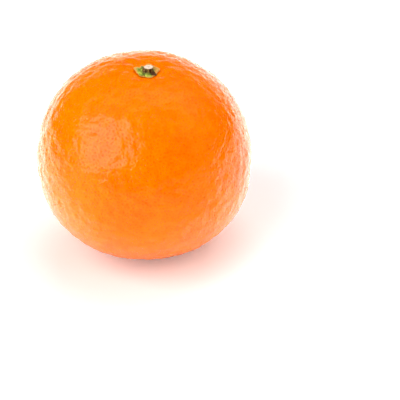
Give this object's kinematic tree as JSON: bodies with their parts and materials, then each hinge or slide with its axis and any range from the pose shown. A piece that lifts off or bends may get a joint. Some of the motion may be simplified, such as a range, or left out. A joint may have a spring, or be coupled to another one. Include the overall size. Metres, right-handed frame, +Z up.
{
  "type": "mandarin",
  "caption": "Whole ripe mandarin, a slightly flattened orange citrus fruit resting on a small flat spot, with its green calyx and a short cut stem.",
  "frame": {"origin": "middle of the bounding box at the level of the flat spot that the fruit rests on", "axes": "+Z up through the stem end; the stem stub leans towards +X; the front is -Y"},
  "size_m": [0.0658, 0.0654, 0.0621],
  "materials": {
    "rind": "glossy orange citrus rind with fine oil-gland pits",
    "sepal": "dull green sepals, browned at their edges",
    "cut_stem": "dark green-brown bark with a pale cut face"
  },
  "bodies": {
    "root": {"fruit": "rind", "calyx": "sepal", "stem_stub": "cut_stem"}
  },
  "joints": []
}
